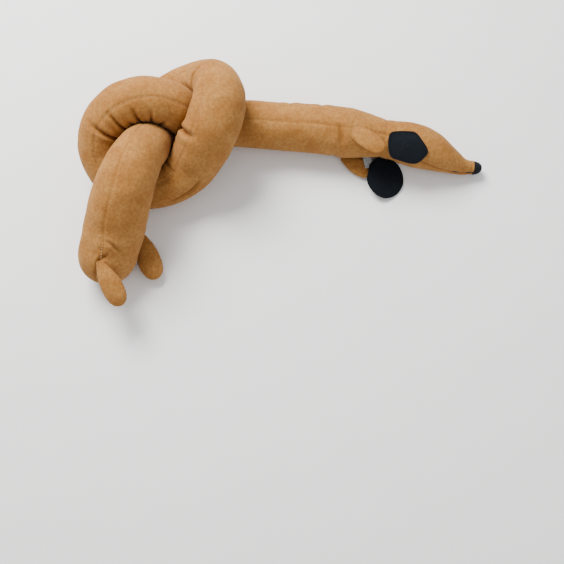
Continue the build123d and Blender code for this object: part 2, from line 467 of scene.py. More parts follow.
@dataclass(frozen=True)
class FloorFinish:
    """Plain pale studio surface."""

    name: str
    colour: tuple

    def build(self) -> bpy.types.Material:
        """The material, very slightly uneven."""
        nodes = Nodes(self.name)
        grain = nodes.remap(nodes.noise(60 * MM, 2), 0.3, 0.7)
        tint = tuple(0.985 * c for c in self.colour)
        nodes.link(nodes.mix(grain, self.colour, tint), nodes.shader.inputs["Base Color"])
        nodes.set(Roughness=0.8, Specular_IOR_Level=0.2)
        return nodes.material


@dataclass(frozen=True)
class Wardrobe:
    """Every finish of the toy."""

    plush: PileFinish = PileFinish("tan plush", (0.345, 0.150, 0.036), (0.43, 0.215, 0.060),
                                   (0.165, 0.055, 0.009), 1.1 * MM, 0.12, (1.0, 0.72, 0.42))
    ear: PileFinish = PileFinish("black ear fleece", (0.0042, 0.0062, 0.0095), (0.007, 0.0098, 0.014),
                                 (0.003, 0.004, 0.0055), 1.3 * MM, 0.05, (0.55, 0.62, 0.8))
    nose: PileFinish = PileFinish("black nose fleece", (0.0075, 0.009, 0.0125), (0.013, 0.015, 0.019),
                                  (0.003, 0.0035, 0.005), 1.0 * MM, 0.06, (0.6, 0.65, 0.8))
    tan_thread: ThreadFinish = ThreadFinish("tan thread", (0.50, 0.30, 0.13), (0.34, 0.18, 0.065))
    dark_thread: ThreadFinish = ThreadFinish("black thread", (0.012, 0.012, 0.014), (0.004, 0.004, 0.005))
    ribbon: RibbonFinish = RibbonFinish("label ribbon", (0.40, 0.43, 0.45), (0.24, 0.27, 0.29))
    floor: FloorFinish = FloorFinish("studio floor", (0.93, 0.93, 0.93))


# ---- The body's form --------------------------------------------------------------------------------------
# Middle of the body from the neck seam to the rump, as it is tied
ROUTE = [
    (128, 56, 26), (84, 63.5, 27), (40, 69, 28), (-4, 72, 28), (-46, 76, 28), (-85, 77, 31), (-112, 76, 54),
    (-144, 82, 79), (-183, 75.5, 77), (-210.5, 49.5, 56), (-205.5, 17, 32), (-171, -2, 25), (-135, 0, 26),
    (-108, 20, 37), (-88, 37, 66), (-73, 66, 86), (-72, 96, 81), (-89, 114, 58), (-120, 116.5, 33),
    (-150, 98, 26), (-156, 68, 28), (-154, 44, 47), (-157, 28, 72), (-168, 0, 84), (-179, -30, 77),
    (-191, -58, 51), (-200, -85, 35),
]
NECK_HEADING = (-0.98, 0.20, 0.02)
RUMP_HEADING = (-0.34, -0.77, -0.54)
# Distance from the neck seam and the stuffed radius there, where nothing presses on the body
GIRTH = [(0, 23.2), (7, 22.9), (24, 25.8), (48, 29.8), (80, 29.2), (150, 28.6), (215, 27.8), (330, 28),
         (450, 27.5), (490, 26.8), (525, 30.5), (560, 31.5), (625, 31), (650, 29), (680, 27),
         (760, 26.4), (825, 26.8), (856, 28.4), (880, 31), (905, 33), (960, 34.4), (1000, 34.4)]
# Folds that the knot presses into the upper side: distance from the neck seam, angle of the middle round
# the body, angle to its end, depth, shift for each radian round the body, and half width
FOLDS = [
    (366, -40, 74, 5.0, -3, 2.2), (343, -50, 56, 4.6, -2, 2.0), (328, -70, 30, 2.2, 2, 2.0),
    (315, -58, 40, 4.2, 2, 2.0), (297, -62, 34, 3.0, 3, 2.0), (280, -75, 30, 2.4, 0, 2.0),
    (577, -38, 52, 5.2, 6, 2.4), (592, -84, 34, 2.6, 4, 2.0), (606, -88, 38, 2.4, 2, 2.0),
    (620, -90, 42, 2.6, 0, 2.0), (636, -88, 44, 3.0, -2, 2.2), (659, -42, 58, 4.6, -3, 2.6),
    (672, -80, 40, 3.0, -2, 2.2), (553, -70, 40, 2.6, 5, 2.4), (864, 165, 50, 3.0, 0, 2.4),
    (970, -22, 16, 2.6, -22, 1.8), (984, -2, 14, 2.6, 24, 1.8), (120, 60, 30, 1.2, 6, 3.0),
    (62, -95, 34, 1.6, -5, 3.0), (84, 80, 30, 1.2, 4, 3.0), (58, -20, 26, 2.2, 8, 2.6),
]
RANDOM_FOLDS = ((390, 530), (690, 800))   # stretches of the lower loops with folds of their own
RIM_FOLD = (484, 546, 60, 3.2, 2.0)       # lengthways fold: start, end, angle, depth, half width
SEAM_LEAN = math.radians(10)      # lean of the upper side seam towards the belly at the neck
TWIST_START = 0.215               # distance from the neck seam where the body begins to twist
TWIST = math.radians(-130)        # twist of the body from there to the rump
RESTS_AT = 0.3 * MM               # lowest point of the pile over the floor
RING_PITCH = 2 * MM
COLUMNS = 96                      # points around the body
OWN_REACH = 85 * MM               # closer than this along the body, strands don't press on each other
SEAM_WIDTH = 1.3 * MM
SEAM_DEPTH = 0.9 * MM
COLLAR_AT = 6 * MM                # neck seam's place along the body
OUTER_TIGHTNESS = 0.14            # how much a bend's outer side flattens against its curvature
CONTACT_ROUNDING = 5 * MM         # how gently the skin turns from free to pressed
SQUEEZE_BULGE = 0.35              # how much a pressed section swells at its free sides
DOME_ROWS = 16
DOME_LENGTH = 1.12                # length of the rump's end against its radius


@dataclass
class Crease:
    """A fold in the plush, across the body on the inner side of a bend.

    Args:
        at: distance from the neck seam.
        towards: angle around the body of its middle.
        spread: angle from its middle to its end.
        depth: depth at its middle.
        lean: shift along the body for each radian around it.
        width: half width of the fold.
    """

    at: float
    towards: float
    spread: float
    depth: float
    lean: float
    width: float


class BodyForm:
    """The stuffed tube from the neck seam to the rump's end, with every strand pressed by its neighbours."""

    def __init__(self) -> None:
        """Lay out the centre line, the section frames and the skin."""
        knots = np.array(ROUTE) * MM
        rough = clamped_spline(knots, np.array(NECK_HEADING), np.array(RUMP_HEADING), 400)
        self.length = float(length_along(rough)[-1])
        count = 1 + round(self.length / RING_PITCH)
        self.centre = clamped_spline(knots, np.array(NECK_HEADING), np.array(RUMP_HEADING), count)
        self.arc = np.linspace(0, self.length, count)
        self.heading = unit(np.gradient(self.centre, axis=0))
        self.seam, self.back = self._frames()
        self.radius = np.interp(self.arc, *(np.array(GIRTH).T * MM))
        self.angles = np.arange(COLUMNS) * FULL_TURN / COLUMNS
        self.outward = (np.cos(self.angles)[None, :, None] * self.seam[:, None]
                        + np.sin(self.angles)[None, :, None] * self.back[:, None])
        self.bend = np.gradient(self.heading, self.arc, axis=0)
        self.creases = self._folds()
        self.grid, self.depth = self._skin()
        self.normals = vertex_normals(self.grid)

    def _frames(self) -> tuple[Array, Array]:
        """Direction to the upper seam and to the back at each ring."""
        carried = np.zeros_like(self.centre)
        across = np.array([0, -math.sin(SEAM_LEAN), math.cos(SEAM_LEAN)])
        for i, heading in enumerate(self.heading):
            across = unit(across - heading * across.dot(heading))
            carried[i] = across
        share = np.clip((self.arc - TWIST_START) / (self.length - TWIST_START), 0, 1)[:, None]
        side = np.cross(self.heading, carried)
        seam = carried * np.cos(TWIST * share) + side * np.sin(TWIST * share)
        return seam, np.cross(self.heading, seam)

    def _folds(self) -> list[Crease]:
        """Creases that the knot presses in, and more of them inside the lower loops' bends."""
        rng = np.random.default_rng(7)
        folds = [Crease(at * MM, math.radians(towards), math.radians(spread),
                        depth * MM, lean * MM, width * MM)
                 for at, towards, spread, depth, lean, width in FOLDS]
        for start, end in RANDOM_FOLDS:
            at = start * MM
            while at < end * MM:
                i = int(np.searchsorted(self.arc, at))
                bend = self.bend[i - 4:i + 5].mean(axis=0)
                tightness = float(np.clip(np.linalg.norm(bend) * 0.05 - 0.35, 0, 1))
                towards = math.atan2(bend.dot(self.back[i]), bend.dot(self.seam[i]))
                folds.append(Crease(at, towards + rng.uniform(-0.4, 0.4), rng.uniform(0.6, 1.0),
                                    rng.uniform(2.4, 5.0) * tightness * MM, rng.uniform(-6, 6) * MM,
                                    rng.uniform(1.8, 2.6) * MM))
                at += rng.uniform(10, 18) * MM
        return folds

    def _pressed(self, reach: Array) -> Array:
        """Distance from the centre line to the nearest neighbour's face, in each direction.

        Args:
            reach: radius at each ring, where nothing presses.

        Returns:
            The distance, or a large one where no neighbour is met.
        """
        limit = np.full((len(self.arc), COLUMNS), 1.0)
        for i, centre in enumerate(self.centre):
            others = np.abs(self.arc - self.arc[i]) > OWN_REACH
            gap = self.centre[others] - centre
            distance = np.linalg.norm(gap, axis=1)
            near = distance < reach[i] + reach[others] + 12 * MM
            if not near.any():
                continue
            gap, distance, other = gap[near], distance[near], reach[others][near]
            wall = (distance**2 + reach[i]**2 - other**2) / (2 * distance) - 0.15 * MM
            facing = self.outward[i] @ (gap / distance[:, None]).T
            hit = np.where(facing > 0.05, wall / np.maximum(facing, 0.05), 1.0)
            limit[i] = hit.min(axis=1)
        return limit

    def _skin(self) -> tuple[Array, Array]:
        """The skin's points and how deep each lies in a crease, which sets the painted shade there."""
        inner = np.einsum("ik,ijk->ij", self.bend, self.outward)
        in_bend = 0.9 / np.maximum(inner, 1e-3)
        down = np.maximum(-self.outward[..., 2], 1e-3)
        floor = (self.centre[:, None, 2] - RESTS_AT) / down
        stretched = np.clip(-inner * self.radius[:, None], 0, 1)
        radius = self.radius[:, None] * (1 - OUTER_TIGHTNESS * stretched)
        neighbours = self._pressed(self.radius)
        walls = np.minimum(np.minimum(neighbours, floor), in_bend)
        pressed = soft_min(walls, radius, CONTACT_ROUNDING)
        squeeze = np.clip(1 - pressed.mean(axis=1) / self.radius, 0, 0.3)[:, None]
        radius = soft_min(walls, radius * (1 + SQUEEZE_BULGE * squeeze), CONTACT_ROUNDING)
        arc, angle = np.meshgrid(self.arc, self.angles, indexing="ij")
        fold, depth = np.zeros_like(arc), np.zeros_like(arc)
        for crease in self.creases:
            turned = wrapped(angle - crease.towards)
            across = (arc - crease.at - crease.lean * turned) / crease.width
            along = np.clip(1 - (turned / crease.spread)**2, 0, 1)
            valley = along * np.exp(-across**2)
            shoulder = along * (np.exp(-((across - 2.6) / 1.5)**2) + np.exp(-((across + 2.6) / 1.5)**2))
            fold += crease.depth * (0.28 * shoulder - valley)
            # painted shade in each fold's valley
            depth = np.maximum(depth, valley * crease.depth / (4.6 * MM))
        start, end, towards, sink, width = RIM_FOLD
        rim_ends = smooth_step((arc / MM - start) / 18) * smooth_step((end - arc / MM) / 18)
        turned = wrapped(angle - math.radians(towards))
        rim = rim_ends * np.exp(-(turned * self.radius[:, None] / (width * MM))**2)
        fold -= sink * MM * rim
        depth = np.maximum(depth, 0.6 * rim)
        seam_distance = self.radius[:, None] * from_seams(angle)
        groove = np.exp(-(seam_distance / SEAM_WIDTH)**2)
        pucker = np.exp(-(seam_distance / (7 * MM))**2) * (1 - groove)
        puckers = np.sin(arc / (6.1 * MM) * FULL_TURN + 1.7 * np.sin(arc / (23 * MM)))
        collar = np.exp(-((arc - COLLAR_AT) / (1.6 * MM))**2)
        places = (self.centre[:, None] + self.outward * radius[..., None]).reshape(-1, 3)
        stuffing = noise_at(places, 24 * MM, 3).reshape(arc.shape)
        lumps = noise_at(places, 10 * MM, 9).reshape(arc.shape)
        radius = (radius + fold - SEAM_DEPTH * groove - 0.7 * MM * collar
                  + 0.25 * MM * pucker * puckers + 0.9 * MM * stuffing + 0.3 * MM * lumps)
        grid = self.centre[:, None] + self.outward * radius[..., None]
        # painted shade in the side seams' grooves and the neck seam's collar
        depth = np.maximum(depth, np.maximum(0.4 * groove, 0.35 * collar))
        grid, depth = self._domed(grid, depth, radius[-1])
        grid[..., 2] = np.maximum(grid[..., 2], RESTS_AT)
        return grid, depth

    def _domed(self, grid: Array, depth: Array, radius: Array) -> tuple[Array, Array]:
        """Add the rump's rounded, gathered end."""
        rows, depths = [grid], [depth]
        for i in range(1, DOME_ROWS + 1):
            turn = 0.5 * math.pi * i / (DOME_ROWS + 0.6)
            ring = (self.centre[-1] + self.heading[-1] * DOME_LENGTH * self.radius[-1] * math.sin(turn)
                    + self.outward[-1] * (radius * math.cos(turn)**0.8)[:, None])
            rows.append(ring[None])
            depths.append(depth[-1:] * math.cos(turn))
        return np.concatenate(rows), np.concatenate(depths)

    def row(self, arc: float) -> int:
        """Number of the ring at a distance from the neck seam."""
        return int(round(arc / self.arc[1]))

    def on_skin(self, arc: float, angle: float) -> Array:
        """Point of the skin at a distance from the neck seam and an angle around the body."""
        return self.grid[self.row(arc), int(round(angle / FULL_TURN * COLUMNS)) % COLUMNS]

    def seam_path(self, start: float, end: float, angle: float) -> Array:
        """Points along a seam of the skin."""
        rows = range(self.row(start), self.row(end))
        return np.array([self.on_skin(self.arc[min(i, len(self.arc) - 1)], angle) for i in rows])


# ---- The head's form --------------------------------------------------------------------------------------
# Middle of each section of the head, half its depth from crown to chin and half its width
HEAD_SECTIONS = [
    ((139, 54.2, 26), 24.2, 25.0), ((150, 51.3, 26), 25.8, 25.9), ((166, 46.3, 25.8), 25.9, 25.6),
    ((181, 40.8, 24), 23.2, 23.5), ((193, 35.2, 21), 18.9, 20.4), ((205, 30.8, 17.3), 14.6, 16.3),
    ((219, 26.6, 12.8), 9.9, 11.2), ((231, 26.0, 10.6), 8.2, 9.1),
]
MUZZLE_HEADING = (0.985, -0.03, -0.15)
HEAD_RINGS = 64
# Place of the chin seam along X and its angle around the head, in degrees
CHIN_SEAM = ((150, -50), (173, -62), (190, -69), (206, -73), (219, -72), (231, -70))
CROWN_SEAM_DEPTH = 0.9 * MM
CHIN_SEAM_DEPTH = 1.3 * MM
NOSE_LENGTH = 12.2 * MM
NOSE_HALF_WIDTH = 9 * MM
NOSE_HALF_DEPTH = 8 * MM


class HeadForm:
    """The stuffed head, from the neck seam to the ring that the nose is sewn to."""

    def __init__(self, body: BodyForm) -> None:
        """Loft the head on from the body's first ring.

        Args:
            body: the body, whose first ring the head shares.
        """
        knots = np.array([body.centre[0] / MM] + [list(c) for c, _, _ in HEAD_SECTIONS]) * MM
        self.centre = clamped_spline(knots, -np.array(NECK_HEADING), np.array(MUZZLE_HEADING), HEAD_RINGS)
        self.heading = unit(np.gradient(self.centre, axis=0))
        self.heading[0] = -body.heading[0]
        self.along = length_along(self.centre)
        stations = length_along(knots)
        stations = stations * self.along[-1] / stations[-1]
        kernel = np.hanning(9) / np.hanning(9).sum()
        halves = []
        for sizes in zip(*((depth, width) for _, depth, width in HEAD_SECTIONS)):
            half = np.interp(self.along, stations, [body.radius[0] / MM, *sizes])
            halves.append(np.convolve(np.pad(half, len(kernel) // 2, "edge"), kernel, "valid") * MM)
        self.depth_radius, self.width_radius = halves
        self.grid, self.crease = self._skin(body)
        self.normals = vertex_normals(self.grid)

    def _skin(self, body: BodyForm) -> tuple[Array, Array]:
        """The head's rings from the nose back to the neck seam, and the depth of its seams, which sets the
        painted shade there.
        """
        angles = body.angles
        rows, creases = [], []
        shared = body.grid[0]
        for i, centre in enumerate(self.centre):
            upright = math.exp(-self.along[i] / (30 * MM))
            up = np.array([0, -math.sin(SEAM_LEAN) * upright, 1.0])
            across = unit(up - self.heading[i] * up.dot(self.heading[i]))
            back = np.cross(-self.heading[i], across)
            width, depth = self.width_radius[i], self.depth_radius[i]
            chin = math.radians(np.interp(centre[0] / MM, *np.array(CHIN_SEAM).T))
            mean = 0.5 * (width + depth)
            grooves = [np.exp(-(wrapped(angles - a) * mean / (1.5 * MM))**2)
                       for a in (0.5 * math.pi, chin, math.pi - chin)]
            fade = smooth_step((self.along[i] - 8 * MM) / (25 * MM))
            chin_groove = np.maximum(grooves[1], grooves[2])
            seam = CROWN_SEAM_DEPTH * grooves[0] + CHIN_SEAM_DEPTH * fade * chin_groove
            welt = math.exp(-((self.along[-1] - self.along[i] - 0.9 * MM) / (0.9 * MM))**2)
            tuck = math.exp(-((self.along[-1] - self.along[i] - 3.6 * MM) / (1.1 * MM))**2)
            lift = 1 - 0.02 * np.cos(2 * angles)**2 - (seam + (0.6 * tuck - 0.5 * welt) * MM) / mean
            ring = (centre + (np.cos(angles) * width * lift)[:, None] * across
                    + (np.sin(angles) * depth * lift)[:, None] * back)
            join = smooth_step(np.array(self.along[i] / (14 * MM)))
            ring = shared + (centre - self.centre[0]) + (ring - shared - (centre - self.centre[0])) * join
            bumps = noise_at(ring, 17 * MM, 8) * 0.5 * MM * join
            ring = ring + unit(ring - centre) * bumps[:, None]
            ring[:, 2] = np.maximum(ring[:, 2], RESTS_AT)
            rows.append(ring)
            # painted shade in the chin and crown seams and in the tuck behind the nose
            creases.append(np.maximum(0.8 * fade * chin_groove, np.maximum(0.5 * grooves[0], 0.5 * tuck)))
        rows[0] = shared
        return np.array(rows[::-1]), np.array(creases[::-1])


class Surface:
    """Heights of the upper skin, for what lies on it."""

    def __init__(self, *grids: Array) -> None:
        """Gather closed grids into one surface.

        Args:
            *grids: rings of points.
        """
        vertices, faces = [], []
        for grid in grids:
            start = len(vertices)
            rows, columns = grid.shape[:2]
            vertices += [Vector(p) for p in grid.reshape(-1, 3)]
            faces += [tuple(start + v for v in f) for f in tube_faces(rows, columns)[:(rows - 1) * columns]]
        self.tree = BVHTree.FromPolygons(vertices, faces)

    def height(self, x: float, y: float) -> float:
        """Height of the surface at a place, or the floor's where there is none."""
        hit = self.tree.ray_cast(Vector((x, y, 0.3)), Vector((0, 0, -1)))[0]
        return hit.z if hit is not None else 0.0


# ---- Sub-assemblies ---------------------------------------------------------------------------------------
@dataclass
class Stretch:
    """A length of the body's skin that is rigid or crosses one joint.

    Args:
        name: name of the piece.
        start: distance of its first ring from the neck seam.
        end: distance of its last ring, or None for the rump's end.
        bodies: the body that it rides, or the two on either side of the joint that it crosses, to neither of
            which it is joined.
        hinge: distance of the joint between them from the neck seam.
        reach: distance on each side of the joint; nothing bends the stretch over it.
        nodes: the CAD pieces that it stands for.
    """

    name: str
    start: float
    end: float | None
    bodies: tuple[str, ...]
    nodes: tuple[str, ...]
    hinge: float = 0.0
    reach: float = 0.0


KNOT_PANELS = tuple(f"knot_{side}_panel_{i}" for side in ("back", "belly") for i in range(1, 10))
STRETCHES = (
    Stretch("neck_skin", 0.0, 0.050, ("head", "chest_front"), (), 0.013, 0.021),
    Stretch("fore_chest_skin", 0.050, 0.134, ("chest_front", "chest_rear"),
            ("chest_front_back_panel", "chest_front_belly_panel", "chest_front_filling"), 0.100, 0.022),
    Stretch("rear_chest_skin", 0.134, 0.206, ("chest_rear", "knot"),
            ("chest_rear_back_panel", "chest_rear_belly_panel", "chest_rear_filling"), 0.168, 0.022),
    Stretch("knot_skin", 0.206, 0.870, ("knot",), KNOT_PANELS + ("knot_filling",)),
    Stretch("rump_skin", 0.870, None, ("knot", "rump"),
            ("rump_back_panel", "rump_belly_panel", "rump_filling"), 0.908, 0.024),
)


@dataclass
class Torso:
    """The long knotted body, in stretches that meet ring to ring.

    Args:
        form: its surface.
        plush: its cloth.
        pieces: the objects made so far.
    """

    form: BodyForm
    plush: bpy.types.Material
    pieces: list[bpy.types.Object] = field(default_factory=list)

    def build(self) -> list[bpy.types.Object]:
        """Make every stretch and join each that rides one body to it; a stretch across a joint is joined to
        none.

        Returns:
            The pieces.
        """
        form = self.form
        for stretch in STRETCHES:
            first = form.row(stretch.start)
            last = len(form.grid) - 1 if stretch.end is None else form.row(stretch.end)
            rows = slice(first, last + 1)
            obj = tube_object(stretch.name, form.grid[rows], form.normals[rows], form.depth[rows], self.plush)
            if stretch.nodes:
                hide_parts(*stretch.nodes)
            if len(stretch.bodies) == 1:
                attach(obj, stretch.bodies[0])
            else:
                tuple(self.beside(stretch.hinge - stretch.reach))
                tuple(self.beside(stretch.hinge + stretch.reach))
                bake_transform(obj)
            self.pieces.append(obj)
        return self.pieces

    def beside(self, arc: float) -> Array:
        """Point of the centre line, carried on straight past the neck seam."""
        if arc < 0:
            return self.form.centre[0] + self.form.heading[0] * arc
        return self.form.centre[self.form.row(arc)]


@dataclass
class Head:
    """The head: its skin and its nose.

    Args:
        form: its surface.
        torso: the body that it is sewn to.
        cloths: the finished cloths, by slot.
    """

    form: HeadForm
    torso: Torso
    cloths: dict[Slot, bpy.types.Material]

    def build(self) -> list[bpy.types.Object]:
        """Make the head's pieces.

        Returns:
            The pieces.
        """
        return [self.skin(), self.nose()]

    def skin(self) -> bpy.types.Object:
        """The plush skin, sewn from two sides and a chin."""
        form = self.form
        obj = tube_object("head_skin", form.grid, form.normals, form.crease, self.cloths[Slot.PLUSH])
        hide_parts("head_right_side", "head_left_side", "head_chin", "head_filling")
        neck = STRETCHES[0]
        tuple(self.torso.beside(neck.hinge - neck.reach))
        tuple(self.torso.beside(neck.hinge + neck.reach))
        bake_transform(obj)
        return obj

    def nose(self) -> bpy.types.Object:
        """The black fleece cap, gathered to the end of the muzzle."""
        centre, heading = self.form.centre[-1], self.form.heading[-1]
        up = np.array([0.0, 0.0, 1.0])
        across = unit(up - heading * up.dot(heading))
        back = np.cross(-heading, across)
        rings, rows, columns = [], 22, 48
        angles = np.arange(columns) * FULL_TURN / columns
        for i in range(rows):
            share = i / (rows - 1)
            turn = 0.5 * math.pi * (1 - share)
            out = math.cos(turn)**0.75 if i else 0.02
            tuck = smooth_step(np.array((share - 0.86) / 0.14))
            place = centre + heading * (NOSE_LENGTH * math.sin(turn) - 1.5 * MM * tuck)
            gather = 1 + 0.014 * np.sin(11 * angles) * share
            size = out * (1.03 - 0.12 * tuck) * gather
            rings.append(place + (np.cos(angles) * NOSE_HALF_WIDTH * size)[:, None] * across
                         + (np.sin(angles) * NOSE_HALF_DEPTH * size)[:, None] * back)
        grid = np.array(rings)
        # painted shade where the fleece is gathered in against the muzzle
        crease = np.linspace(0, 1, rows)[:, None]**14 * np.ones(columns)
        obj = tube_object("nose_felt", grid, vertex_normals(grid), crease, self.cloths[Slot.NOSE])
        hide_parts("nose_cap")
        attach(obj, "head")
        return obj


def closed_outline(points: Array, count: int) -> Array:
    """A smooth closed curve through points in a plane.

    Args:
        points: the points, in order.
        count: number of points wanted.

    Returns:
        Points evenly spaced around the curve.
    """
    before, after, beyond = (np.roll(points, k, axis=0) for k in (1, -1, -2))
    pieces = []
    bend = 2 * before - 5 * points + 4 * after - beyond
    twist = 3 * points - before - 3 * after + beyond
    for t in np.linspace(0, 1, LOOP_STEPS, endpoint=False):
        pieces.append(0.5 * (2 * points + (after - before) * t + bend * t**2 + twist * t**3))
    loop = np.stack(pieces, axis=1).reshape(-1, 2)
    return evenly_spaced(np.vstack([loop, loop[:1]]), count, closed=True)


@dataclass(frozen=True)
class EarPattern:
    """Cut of one ear.

    Args:
        side: side of the head that it hangs from.
        outline: points of its outline, forwards along the head and away from the root, in millimetres.
        flat: width and length of the cloth it is cut from; not used.
        area: area of the cut; not used.
    """

    side: Side
    outline: tuple
    flat: tuple
    area: float


NEAR_EAR = EarPattern(
    Side.RIGHT,
    ((-15, -8), (4, -13.5), (14, -14.5), (23.5, -6.5), (32.5, 4.5), (30, 13), (21.5, 20.5), (5, 20.5),
     (-10, 16.5)),
    (0.050, 0.036), 0.00133)
FAR_EAR = EarPattern(
    Side.LEFT,
    ((-21, -7), (-18, -17), (-9, -26), (6, -27), (17, -20), (23, -6), (21.5, 9), (12, 20.5), (-2, 24.5),
     (-15, 18.5), (-22.5, 6)),
    (0.050, 0.046), 0.00175)
NEAR_EAR_AT = np.array([150, 52.1]) * MM
NEAR_EAR_TILT = math.radians(23.6)    # slope of the head's side where the near ear lies
NEAR_EAR_RAISE = 27.2 * MM            # distance of that side from the middle of the head
FAR_EAR_AT = np.array([125.5, 13.5]) * MM
EAR_THICKNESS = 2.2 * MM


@dataclass
class Ear:
    """A floppy two-layer ear of black fleece.

    Args:
        pattern: its cut.
        fleece: its cloth.
        below: the surface that it lies on, or None over the bare floor.
    """

    pattern: EarPattern
    fleece: bpy.types.Material
    below: Surface | None
    rings: int = 16
    columns: int = 80

    def place(self, forward: Array, away: Array) -> tuple[Array, Array]:
        """Where the ear's points lie, seen from above.

        Args:
            forward: distance forwards along the head.
            away: distance away from the root.

        Returns:
            X and Y.
        """
        if self.pattern.side is Side.LEFT:
            return FAR_EAR_AT[0] + forward, FAR_EAR_AT[1] - away
        heading = unit(np.array([0.98, -0.20]))
        sideways = np.array([heading[1], -heading[0]])
        origin = NEAR_EAR_AT - heading * 8 * MM + sideways * NEAR_EAR_RAISE * math.sin(NEAR_EAR_TILT)
        spot = origin + forward[:, None] * heading + away[:, None] * math.cos(NEAR_EAR_TILT) * sideways
        return spot[:, 0], spot[:, 1]

    def build(self) -> bpy.types.Object:
        """Cut the ear, lay it down and close its rim.

        Returns:
            The ear.
        """
        near = self.pattern.side is Side.RIGHT
        outline = closed_outline(np.array(self.pattern.outline, dtype=float), self.columns) * MM
        middle = outline.mean(axis=0)
        shares = np.sin(np.linspace(0.06, 1, self.rings) * 0.5 * math.pi)
        flat = np.array([middle + (outline - middle) * s for s in shares])
        forward, away = flat[..., 0].ravel(), flat[..., 1].ravel()
        x, y = (spots.reshape(flat.shape[:2]) for spots in self.place(forward, away))
        rest = np.zeros_like(x) if self.below is None else np.vectorize(self.below.height)(x, y)
        rest = self.relaxed(np.maximum(rest, self.level(flat)), 0.5 * MM if near else RESTS_AT)
        angle = np.arctan2(away - middle[1], forward - middle[0]).reshape(rest.shape)
        rim = shares[:, None]**3
        wave = 1.1 * MM * rim * (np.sin(3 * angle + 0.6) + 0.5 * np.sin(5 * angle - 1.1))
        lie = rest + np.maximum(wave, -0.2 * MM)
        thin = EAR_THICKNESS * np.sqrt(np.clip(1 - (0.93 * shares[:, None])**8, 0, 1))
        stitched = 0.45 * MM * np.exp(-((shares[:, None] - 0.9) / 0.03)**2)
        upper, lower = np.dstack([x, y, lie + thin - stitched]), np.dstack([x, y, lie])
        grid = np.concatenate([upper, lower[::-1]])
        if near:
            grid = grid[:, ::-1]
        grid = grid[::-1]
        # painted shade along the stitched line round the rim
        crease = np.concatenate([stitched * np.ones_like(rest), np.zeros_like(rest)])[::-1] / (0.45 * MM)
        name = self.pattern.side.value
        obj = tube_object(f"{name}_ear_felt", grid, vertex_normals(grid), crease, self.fleece)
        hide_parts(f"{name}_ear_face", f"{name}_ear_lining")
        if near:
            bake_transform(obj)
        else:
            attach(obj, f"{name}_ear")
        return obj

    def level(self, flat: Array) -> Array:
        """Least height at each point of the ear, where stiff fleece or a leg below it holds it up."""
        if self.pattern.side is Side.RIGHT:
            return 46.5 * MM - 0.42 * flat[..., 1]
        return 4.2 * MM - 0.33 * flat[..., 0]

    def relaxed(self, rest: Array, clearance: float) -> Array:
        """Heights smoothed as stiff fleece bridges what is below it.

        Args:
            rest: heights of what is below.
            clearance: least distance over it.

        Returns:
            Heights of the ear's lower side.
        """
        height = rest + clearance
        for _ in range(40):
            around = 0.5 * (np.roll(height, 1, axis=1) + np.roll(height, -1, axis=1))
            inward = np.vstack([height[:1], 0.5 * (height[:-2] + height[2:]),
                                2 * height[-2:-1] - height[-3:-2]])
            height = np.maximum(rest + clearance, 0.5 * around + 0.5 * inward)
        return height


@dataclass(frozen=True)
class LegPattern:
    """One stuffed leg, sewn from two equal halves.

    Args:
        name: its name, which its body has too.
        root: middle of its sewn end.
        tip: its far end.
        facing: direction that its broad side faces.
        width: half its greatest width.
        thickness: half its greatest thickness.
    """

    name: str
    root: tuple
    tip: tuple
    facing: tuple
    width: float
    thickness: float


LEGS = (
    LegPattern("right_front_leg", (72, 66, 51), (118.5, 31.5, 53), (0.1, -0.12, 1), 11.4, 4.8),
    LegPattern("left_front_leg", (73, 41, 6.0), (111, 21, 4.6), (0, 0, 1), 11.5, 4.2),
    LegPattern("right_hind_leg", (-205, -103, 60), (-180, -151, 46), (0.1, -0.35, 1), 12.2, 9.6),
    LegPattern("left_hind_leg", (-172, -55, 12.2), (-148, -113, 11.8), (0, 0, 1), 14, 11),
)


